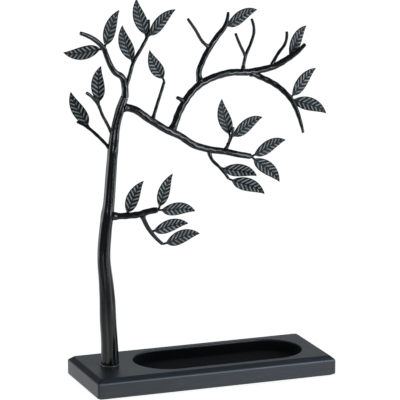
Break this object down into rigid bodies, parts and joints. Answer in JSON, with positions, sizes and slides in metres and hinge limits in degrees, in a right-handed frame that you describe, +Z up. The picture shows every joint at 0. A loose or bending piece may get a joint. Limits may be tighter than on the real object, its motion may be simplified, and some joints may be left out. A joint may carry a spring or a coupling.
{
  "type": "tree-shaped jewellery stand with tray base",
  "caption": "Leafy metal tree for hanging jewellery, standing at one end of a bevelled black board with a stadium-shaped tray.",
  "frame": {"origin": "middle of the underside, on the felt that the stand rests on", "axes": "+Z up; +X along the board, away from the end that carries the tree; +Y to the back"},
  "size_m": [0.2163, 0.078, 0.3048],
  "materials": {
    "board_lacquer": "satin black lacquer on fibreboard",
    "felt": "matte wool felt",
    "flock": "matte flocking",
    "tree_enamel": "semi-gloss black enamel",
    "leaf_enamel": "satin black enamel on cast leaves",
    "zinc_steel": "zinc plated"
  },
  "bodies": {
    "root": {"arch_bough": "tree_enamel", "arch_stub": "tree_enamel", "arch_tail": "tree_enamel", "base_board": "board_lacquer", "base_felt": "felt", "bough_left": "tree_enamel", "bough_lower": "tree_enamel", "bough_top": "tree_enamel", "branch_small": "tree_enamel", "fixing_screw": "zinc_steel", "foot_collar": "tree_enamel", "leaf_drop_end": "leaf_enamel", "leaf_drop_mid": "leaf_enamel", "leaf_end_down": "leaf_enamel", "leaf_end_up": "leaf_enamel", "leaf_hanging_end": "leaf_enamel", "leaf_hanging_mid": "leaf_enamel", "leaf_inner": "leaf_enamel", "leaf_left_out": "leaf_enamel", "leaf_left_up": "leaf_enamel", "leaf_outer": "leaf_enamel", "leaf_rising_out": "leaf_enamel", "leaf_rising_up": "leaf_enamel", "leaf_side_high": "leaf_enamel", "leaf_side_low": "leaf_enamel", "leaf_small_near": "leaf_enamel", "leaf_small_out": "leaf_enamel", "leaf_small_up": "leaf_enamel", "leaf_tail_down": "leaf_enamel", "leaf_tail_up": "leaf_enamel", "leaf_tall_low": "leaf_enamel", "leaf_tall_out": "leaf_enamel", "leaf_tall_up": "leaf_enamel", "leaf_top": "leaf_enamel", "screw_washer": "zinc_steel", "tray_lining": "flock", "trunk": "tree_enamel", "twig_crown": "tree_enamel", "twig_crown_prong": "tree_enamel", "twig_hanging": "tree_enamel", "twig_inner": "tree_enamel", "twig_left_tall": "tree_enamel", "twig_outer": "tree_enamel", "twig_rising": "tree_enamel", "twig_rising_stub": "tree_enamel", "twig_side_high": "tree_enamel", "twig_side_low": "tree_enamel", "twig_small_hanging": "tree_enamel", "twig_top_side": "tree_enamel"}
  },
  "joints": []
}
